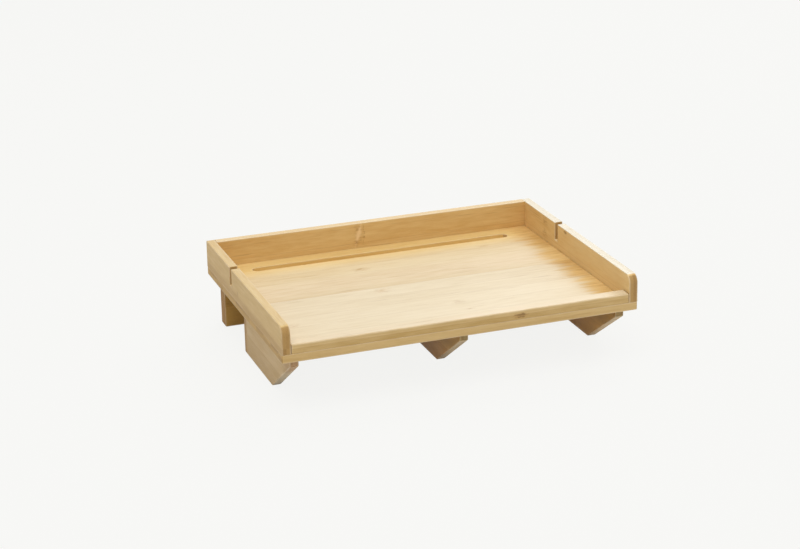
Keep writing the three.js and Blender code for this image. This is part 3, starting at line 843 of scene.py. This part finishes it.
def combine(x, y, z):
    """Three values as one vector."""
    node = add_node(tree_of(x, y, z), "CombineXYZ", {"X": x, "Y": y, "Z": z})
    return Value(node.outputs[0])


def noise(place, detail=2.0, roughness=0.5, scale=1.0):
    """Soft noise between 0 and 1 at a place that is already stretched to the pattern's size."""
    node = add_node(place.tree, "TexNoise", {
        "Vector": place, "Scale": scale, "Detail": detail, "Roughness": roughness})
    return Value(node.outputs["Fac"])


edge_wear_and_highlight, given, result = new_group(
    "Worn edges", {"Place": (0, 0, 0), "Ease": 0.0, "Patch Scale": 60.0}, ["Wear"])
patches = noise(given["Place"], 3.0, 0.6, given["Patch Scale"])
plug(given["Ease"] * fade(patches, 0.3, 0.65, 0.55, 1.0), result["Wear"])


# %% Node marks of the culm
# A mark is a smudge that fades outwards and is broken into dashes along the fibres. A wide mark
# also has a pale lens in its middle and a thin dark line across its far end.
node_mark, given, result = new_group(
    "Culm node", {"Along": 0.0, "Across": 0.0, "At": 0.0, "Middle": 0.0, "Half Length": 0.007,
                  "Half Width": 0.005, "Strength": 1.0}, ["Smudge", "Line", "Lens"])
along, across, at, strength = (given[label] for label in ("Along", "Across", "At", "Strength"))
lengthwise = (along - at) / given["Half Length"]
crosswise = (across - given["Middle"]) / given["Half Width"]
away = (lengthwise * lengthwise + crosswise * crosswise).step("SQRT")
uneven = noise(combine(along, across, at), 2.0, 0.6, 260.0)
spread = fade(away + (uneven - 0.5) * 1.1, 0.2, 1.1, 1.0, 0.0) * strength
dashes = noise(combine(along * 150.0, across * 650.0, at), 2.0, 0.6)
dashes = fade(dashes, 0.42, 0.62, 0.25, 1.0)
wide = fade(given["Half Width"], 0.006, 0.009)
slanted = lengthwise - crosswise * 0.6
lens = fade(abs(slanted) + abs(crosswise) * 0.6, 0.15, 0.95, 1.0, 0.0) * strength * wide
plug(lens, result["Lens"])
plug((spread * dashes * (lens * -0.9 + 1.0)).clamped(), result["Smudge"])
beyond = lengthwise + (uneven - 0.5) * 1.6 - 1.0
line = fade(abs(beyond), 0.04, 0.16, 1.0, 0.0) * fade(abs(crosswise), 0.7, 1.3, 1.0, 0.0)
plug(line * dashes * wide * strength, result["Line"])


# %% Bamboo board as a node group
bamboo, given, result = new_group("Bamboo board", {
    "Place": (0, 0, 0), "Facing": (0, 0, 1), "Seed": 0.0, "Strip Width": 0.02, "Strip Offset": 0.0,
    "Layer": 0.0027, "Strip Contrast": 0.5, "Pale": (0.7, 0.52, 0.27, 1),
    "Deep": (0.55, 0.34, 0.12, 1), "End": (0.5, 0.33, 0.15, 1), "Node Smudge": 0.0,
    "Node Line": 0.0, "Node Lens": 0.0, "Wear": 0.0, "Lacquer": 0.5,
}, ["Color", "Roughness", "Coat", "Height"])


def three_parts(vector):
    """The x, y and z of a vector."""
    node = add_node(vector.tree, "SeparateXYZ", {"Vector": vector})
    return [Value(socket) for socket in node.outputs]


along, across, through = three_parts(given["Place"])
strip_place = across / given["Strip Width"] + given["Strip Offset"]
strip, layer = strip_place.step("FLOOR"), (through / given["Layer"]).step("FLOOR")
chance = add_node(bamboo, "TexWhiteNoise", {"Vector": combine(strip, layer, given["Seed"])})
strip_tone = Value(chance.outputs["Value"])
shift = strip_tone * 37.0


def stretched(along_scale, cross_scale, start=0.0):
    """The place stretched for a pattern that is long with the grain and fine across it.

    The scales are per metre. Every strip is shifted along by its own chance, so that no pattern
    runs on from one strip to the next."""
    return combine(along * along_scale + (shift + start), across * cross_scale,
                   through * cross_scale + given["Seed"])


# The drift is a board's slow change of tone, the streaks are its bundles of fibres, and the
# fibres its finest lines. Each swings about 0.5.
drift = noise(stretched(7.0, 16.0))
streaks = noise(stretched(38.0, 260.0, 3.0), 3.0, 0.65)
fibres = noise(stretched(60.0, 1500.0, 7.0), 2.0, 0.6)
tone = (drift - 0.5) * 0.8 + (streaks - 0.5) * 0.8 + (fibres - 0.5) * 0.4 + 0.42
tone = (strip_tone - 0.5) * given["Strip Contrast"] + tone
face_colour = blend(fade(tone, 0.0, 1.0), given["Pale"], given["Deep"])

# %% Flecks, glue lines and node marks on the face
stain_colour, lens_colour = (0.30, 0.145, 0.035, 1), (0.90, 0.66, 0.36, 1)
mark_rim, mark_heart = (0.40, 0.21, 0.06, 1), (0.22, 0.115, 0.03, 1)
flecks = fade(noise(stretched(26.0, 850.0, 11.0), 1.0), 0.62, 0.74)
flecks = flecks * fade(noise(stretched(9.0, 60.0, 19.0), 1.0), 0.48, 0.62)
position = strip_place.step("FRACT")
to_line = position.step("MINIMUM", position * -1.0 + 1.0) * given["Strip Width"]
glue = fade(to_line, 0.0001, 0.0005, 1.0, 0.0)
stain = (flecks * 0.3 + glue * 0.17 + given["Node Line"] * 0.5).clamped()
face_colour = blend((given["Node Lens"] * 0.75).clamped(), face_colour, lens_colour)
face_colour = blend(stain, face_colour, stain_colour)
mark_tone = blend(fade(given["Node Smudge"], 0.75, 1.0), mark_rim, mark_heart)
face_colour = blend((given["Node Smudge"] * 0.75).clamped(), face_colour, mark_tone)
print("Nodes for the face:", len(bamboo.nodes))

# %% End grain, worn edges with a painted highlight, lacquer and relief
pore_colour, rubbed_and_lit_colour = (0.24, 0.12, 0.04, 1), (0.92, 0.86, 0.72, 1)
dots = add_node(bamboo, "TexVoronoi", {"Vector": combine(0.0, across, through), "Scale": 1100.0})
bundles = fade(Value(dots.outputs["Distance"]), 0.15, 0.4, 1.0, 0.0)
end_stain = bundles * 0.3 + (strip_tone - 0.5) * 0.5 + (drift - 0.5) * 0.5 + 0.15
end_colour = blend(end_stain.step("MAXIMUM", 0.0), given["End"], pore_colour)
end_grain = fade(abs(three_parts(given["Facing"])[0]), 0.42, 0.65)
colour = blend(end_grain, face_colour, end_colour)
# Eased edges turn paler: partly sanding wear, partly a painted highlight along the rounded edge.
rubbed_and_lit_edge = blend(0.45, given["Pale"], rubbed_and_lit_colour)
plug(blend(given["Wear"] * 0.7, colour, rubbed_and_lit_edge), result["Color"])
plug((streaks - 0.5) * 0.2 + end_grain * 0.15 + given["Wear"] * 0.12 + 0.42, result["Roughness"])
plug(given["Lacquer"] * (end_grain * -0.85 + 1.0), result["Coat"])
ripples = noise(stretched(14.0, 230.0, 23.0))
sunk = (glue + given["Node Line"]) * 0.2 + bundles * 0.06
plug(ripples + (fibres - 0.5) * 0.06 - sunk, result["Height"])
print("Nodes in the whole bamboo group:", len(bamboo.nodes))

# %% [markdown]
# Every board gets the group with its own values: how its grain lies, where its strips start, how
# pale it is, and where its few node marks are. The clear lacquer is the shader's coat. The base
# board is made of two glued-up panels, a yellower one at the back and a paler one in front, and
# the front's paleness also stands in for the lacquer's glare: a painted highlight. Paler tones on
# the rails' tops and on the lip are painted highlight too, and darker tones near the rails and
# under the tray are painted shade.

# %% Bamboo for each board
grain_ways = {
    "along_x_flat": ((1, 0, 0), (0, 1, 0), (0, 0, 1)),
    "along_y_flat": ((0, 1, 0), (-1, 0, 0), (0, 0, 1)),
    "along_x_upright": ((1, 0, 0), (0, 0, 1), (0, -1, 0)),
    "along_y_upright": ((0, 1, 0), (0, 0, 1), (1, 0, 0)),
}
rag_stretch, coat_roughness, specular_level = (20, 170, 170), 0.2, 0.12


def use_group(tree, group, **values):
    """Places a node group in a material, with its inputs given by name, and gives its outputs."""
    node = add_node(tree, "Group", {label.replace("_", " ").title(): value
                                    for label, value in values.items()}, node_tree=group)
    return {socket.name: Value(socket) for socket in node.outputs}


def mapped(place, **settings):
    """A place, or a direction, after a Mapping node."""
    node = add_node(place.tree, "Mapping", {"Vector": place} | {
        label.title(): value for label, value in settings.items()})
    return Value(node.outputs[0])


def worn_mask(place, **settings):
    """The worn edges of a finish, on bamboo with a painted highlight, from the piece's own ease mask.
    """
    ease = Value(add_node(place.tree, "Attribute", attribute_name="ease").outputs["Fac"])
    return use_group(place.tree, edge_wear_and_highlight, place=place, ease=ease, **settings)["Wear"]


def finish_with(surface, height, depth, values):
    """A Principled shader whose normal comes from a height, in metres at full height."""
    bump = add_node(height.tree, "Bump", {"Height": height, "Distance": depth})
    plug(add_node(height.tree, "BsdfPrincipled", values | {"Normal": bump}), surface)


def bamboo_finish(name, way, seed, tone, end, coat, marks=(), strip=0.02, offset=0.0,
                  layer=0.0027, contrast=0.5, zones=(), depth=0.00005):
    """The material of one board, with a (pale, deep) tone and an end grain tone.

    The marks are culm nodes at (along, across, half length, half width, strength). The zones
    (axis, start, full, raggedness, tone) are parts of the board with tones of their own, and an
    end grain tone too where a sixth value gives one: a zone begins at its start, on the axis 0
    along, 1 across or 2 through, and has its whole tone at full."""
    material, tree, surface = new_material(name)
    coordinates = add_node(tree, "TexCoord").outputs
    turn = Matrix(grain_ways[way]).to_euler()
    place, facing = (mapped(Value(coordinates[source]), rotation=turn)
                     for source in ("Object", "Normal"))
    grain = three_parts(place)
    found = {"smudge": 0.0, "line": 0.0, "lens": 0.0}
    for at, middle, half_length, half_width, strength in marks:
        mark = use_group(tree, node_mark, along=grain[0], across=grain[1], at=at, middle=middle,
                         half_length=half_length, half_width=half_width, strength=strength)
        found = {label: mark[label.title()] + value for label, value in found.items()}
    pale, deep = tone
    for axis, start, full, raggedness, (other_pale, other_deep), *other_end in zones:
        position = grain[axis]
        if raggedness:
            ragged = noise(mapped(place, scale=rag_stretch), 3.0, 0.6)
            position = (ragged - 0.5) * raggedness + position
        share = fade(position, min(start, full), max(start, full),
                     float(start > full), float(start < full))
        pale, deep = blend(share, pale, other_pale), blend(share, deep, other_deep)
        end = blend(share, end, other_end[0]) if other_end else end
    board = use_group(
        tree, bamboo, place=place, facing=facing, seed=seed, strip_width=strip, strip_offset=offset,
        layer=layer, strip_contrast=contrast, pale=pale, deep=deep, end=end, lacquer=coat,
        wear=worn_mask(Value(coordinates["Object"])),
        **{f"node_{label}": value for label, value in found.items()})
    finish_with(surface, board["Height"], depth, {
        "Base Color": board["Color"], "Roughness": board["Roughness"], "Coat Weight": board["Coat"],
        "Coat Roughness": coat_roughness, "Specular IOR Level": specular_level})
    return material

# %% Tones of the boards
# A board may have several tones, each of a pale and a deep colour, for parts and faces of it.
# Some paint light and shade: the darkest, under the tray and on faces in shade, are painted
# shade, and the paler tops are painted highlight. The end grain has one colour.
def tones(pale, deep):
    """A pale and a deep tone of one wood, from two (red, green, blue) triples."""
    return (*pale, 1), (*deep, 1)


end_tone, pink_end = (0.46, 0.28, 0.10, 1), (0.52, 0.34, 0.16, 1)
groove_end, base_end = (0.70, 0.48, 0.22, 1), (0.54, 0.345, 0.122, 1)
jaw_end_shade, shaded_tip_end = (0.38, 0.205, 0.06, 1), (0.36, 0.26, 0.115, 1)
bracket_end, tip_end_shade = (0.63, 0.54, 0.37, 1), (0.49, 0.31, 0.17, 1)
honey = tones((0.74, 0.55, 0.26), (0.58, 0.36, 0.12))
front_panel_and_glare = tones((0.75, 0.635, 0.44), (0.65, 0.52, 0.32))
golden = tones((0.87, 0.66, 0.32), (0.74, 0.53, 0.22))
right_rail_shade = tones((0.78, 0.54, 0.225), (0.44, 0.215, 0.035))
clear = tones((0.73, 0.585, 0.37), (0.62, 0.455, 0.25))
clear_back = tones((0.745, 0.615, 0.39), (0.635, 0.48, 0.265))
back_rail_shade = tones((0.79, 0.58, 0.25), (0.65, 0.41, 0.13))
seam_tone = tones((0.70, 0.56, 0.34), (0.59, 0.43, 0.23))
board_front = tones((0.66, 0.46, 0.20), (0.50, 0.31, 0.10))
lip_front = tones((0.68, 0.48, 0.22), (0.48, 0.30, 0.09))
lip_lit_tone = tones((0.82, 0.69, 0.48), (0.75, 0.62, 0.40))
orange = tones((0.79, 0.56, 0.25), (0.63, 0.37, 0.115))
back_rail_lit_top = tones((0.775, 0.585, 0.325), (0.685, 0.49, 0.24))
right_rail_lit_top = tones((0.77, 0.70, 0.56), (0.705, 0.615, 0.46))
left_rail_lit_top = tones((0.70, 0.54, 0.29), (0.55, 0.35, 0.134))
outer_face_shade = tones((0.635, 0.434, 0.168), (0.51, 0.323, 0.10))
outer_foot = tones((0.55, 0.35, 0.12), (0.44, 0.262, 0.071))
jaw_shade = tones((0.52, 0.315, 0.09), (0.31, 0.165, 0.035))
left_bracket = tones((0.64, 0.46, 0.23), (0.51, 0.34, 0.14))
left_tip_shade = tones((0.52, 0.34, 0.15), (0.42, 0.25, 0.09))
bracket = tones((0.82, 0.46, 0.13), (0.64, 0.32, 0.065))
under_tray_shade = tones((0.47, 0.25, 0.045), (0.37, 0.175, 0.022))

# %% Finishes of the boards
upright_strip, whole_layer = 0.03, 0.00805
# The rails' top faces take paler, greyer tones of their own: painted highlight.
lit_top_zone = (1, 0.0793, 0.0797, 0)
finishes = {
    "base_board": bamboo_finish(
        "bamboo base", "along_x_flat", 3.0, clear, base_end, 0.5, strip=0.0218, offset=-0.046,
        contrast=0.15, depth=0.00007, zones=[
            (1, 0.034, 0.050, 0, clear_back), (1, 0.017, 0.003, 0, seam_tone),
            # From the groove back to the rail the floor turns deeper amber: painted shade of the back
            # rail. Next to the right rail, and under it, the floor is darker: painted shadow of that
            # rail.
            (1, 0.064, 0.092, 0, golden, groove_end), (1, 0.088, 0.0884, 0, back_rail_shade),
            # The paler, greyer tone on the front half of the board is partly its panel and partly the
            # lacquer's glare: painted highlight.
            (1, 0.0012, 0.0008, 0, front_panel_and_glare), (0, 0.1265, 0.1495, 0.045, right_rail_shade),
            (0, -0.160, -0.163, 0, clear, base_end), (0, 0.160, 0.163, 0, right_rail_shade, base_end),
            (1, -0.1188, -0.1192, 0, board_front)],
        marks=[
            (0.0952, 0.0706, 0.008, 0.004, 0.55), (0.0179, -0.0609, 0.008, 0.006, 0.45),
            (-0.0347, 0.0535, 0.010, 0.006, 0.7), (-0.0355, -0.0065, 0.010, 0.007, 0.55),
            (-0.137, -0.06, 0.008, 0.005, 0.5), (0.021, -0.080, 0.006, 0.002, 0.7)]),
    "left_side_rail": bamboo_finish(
        "bamboo left rail", "along_y_upright", 11.0, honey, end_tone, 0.1, strip=upright_strip,
        layer=whole_layer, marks=[(0.0152, 0.063, 0.003, 0.003, 1.0)], zones=[
            # The left rail's outer face is darker: painted shade. The rail also gets darker towards
            # its foot.
            (*lit_top_zone, left_rail_lit_top), (2, -0.1636, -0.1642, 0, outer_face_shade),
            (1, 0.0665, 0.0565, 0, outer_foot)]),
    "right_side_rail": bamboo_finish(
        "bamboo right rail", "along_y_upright", 17.0, orange, end_tone, 0.4, strip=upright_strip,
        layer=whole_layer, zones=[(*lit_top_zone, right_rail_lit_top)],
        marks=[(0.0633, 0.074, 0.007, 0.0055, 0.8), (0.0633, 0.0622, 0.007, 0.0055, 0.8),
               (0.0173, 0.0775, 0.0045, 0.003, 1.6)]),
    "back_rail": bamboo_finish(
        "bamboo back rail", "along_x_upright", 23.0, orange, end_tone, 0.4, strip=upright_strip,
        layer=0.004, zones=[(*lit_top_zone, back_rail_lit_top)],
        marks=[(-0.0168, 0.069, 0.005, 0.011, 1.0), (-0.0195, 0.0605, 0.004, 0.0035, 0.9),
               (-0.0185, 0.0765, 0.004, 0.0025, 0.9)]),
    # The lip's top, back and ends take a paler tone than its front face: painted highlight.
    "front_lip": bamboo_finish(
        "bamboo lip", "along_x_upright", 29.0, lip_lit_tone, end_tone, 0.5, strip=0.0042, offset=-0.05,
        layer=0.03, contrast=0.6, zones=[(2, 0.1186, 0.1190, 0, lip_front)],
        marks=[(0.0519, 0.0581, 0.009, 0.003, 3.0)]),
    "fixed_jaw_board": bamboo_finish(
        "bamboo fixed jaw", "along_x_upright", 31.0, bracket, pink_end, 0.0),
    # The rear jaw's front face and its end grain are darker for the shade under the tray: painted
    # shade.
    "rear_jaw_board": bamboo_finish(
        "bamboo rear jaw", "along_x_upright", 37.0, board_front, jaw_end_shade, 0.0,
        zones=[(2, -0.0985, -0.0972, 0, jaw_shade)]),
}
# Under the tray the middle and right gussets darken from about 14 mm up, with darker end grain at
# their tips, and the left one darkens towards its tip: painted shade.
shaded = [(1, 0.014, 0.030, 0, under_tray_shade), (1, 0.0384, 0.0392, 0, under_tray_shade, shaded_tip_end)]
for number, (place, tone, zones) in enumerate((
        ("left", left_bracket, [(0, -0.085, -0.103, 0, left_tip_shade, tip_end_shade)]),
        ("middle", bracket, shaded), ("right", bracket, shaded))):
    finishes[f"{place}_gusset"] = bamboo_finish(
        f"bamboo {place} gusset", "along_y_upright", 41.0 + 5 * number, tone, bracket_end, 0.0,
        layer=0.0021, contrast=0.7, zones=zones)
for number, side in enumerate(knob_axes):
    finishes[f"{side}_slide_arm"] = bamboo_finish(
        f"bamboo {side} arm", "along_y_flat", 61.0 + 5 * number, honey, end_tone, 0.3)
print("Bamboo finishes:", len(finishes))

# %% [markdown]
# ## Plastic, steel and brass
# The knobs are black nylon from a spark-eroded mould: nearly black, a fine even grain, and paler
# where hands rub the lobes. The washers, studs and screws are zinc plated, which is brighter than
# bare steel and slightly cloudy. The inserts are plain brass.

# %% Fittings' finishes
def fitting_finish(name, colour, cloud_colour, wear_colour, roughness, metallic, grain_scale,
                   grain_depth):
    """A moulded or plated surface: clouds of a second colour, paler worn edges and a fine grain."""
    material, tree, surface = new_material(name)
    place = Value(add_node(tree, "TexCoord").outputs["Object"])
    wear = worn_mask(place, patch_scale=260.0)
    clouds = noise(place, 3.0, 0.6, 180.0)
    tinted = blend(fade(clouds, 0.4, 0.65), colour, cloud_colour)
    finish_with(surface, noise(place, 2.0, 0.6, grain_scale), grain_depth, {
        "Base Color": blend(wear, tinted, wear_colour), "Metallic": metallic,
        "Roughness": (clouds - 0.5) * 0.3 + wear * -0.1 + roughness})
    return material


nylon = fitting_finish("black nylon", (0.017, 0.017, 0.019, 1), (0.024, 0.024, 0.026, 1),
                       (0.07, 0.07, 0.072, 1), 0.48, 0.0, 3200.0, 0.00006)
zinc = fitting_finish("zinc plate", (0.60, 0.61, 0.63, 1), (0.50, 0.52, 0.56, 1),
                      (0.75, 0.75, 0.76, 1), 0.30, 1.0, 1500.0, 0.00001)
brass = fitting_finish("brass", (0.62, 0.42, 0.16, 1), (0.50, 0.32, 0.11, 1),
                       (0.80, 0.60, 0.30, 1), 0.32, 1.0, 1500.0, 0.00001)

# %% [markdown]
# ## Handing the pieces to the frame
# Every piece replaces the CAD node that it was made for, rides on that node's body, and gets its
# finish as its material.

# %% Ride, replace and finish
bodies = frame["record"]["behaviour"]["bodies"]
body_of = {node: body for body, nodes in bodies.items() for node in nodes}


def slot_and_finish(node):
    """The record's slot of a node and the material of its piece."""
    if node in finishes:
        slot = {"base_board": "bamboo_tray", "front_lip": "bamboo_rail"}.get(
            node, "bamboo_rail" if node.endswith("rail") else "bamboo_bracket")
        return slot, finishes[node]
    if node.endswith("knob"):
        return "knob_plastic", nylon
    return ("brass_insert", brass) if node.endswith("insert") else ("zinc_steel", zinc)


for node, piece in made.items():
    slot, finish = slot_and_finish(node)
    piece.data.materials.append(finish)
    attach(piece, body_of[node])
    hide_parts(node)
print("Pieces:", len(made), "of", len(body_of), "nodes")
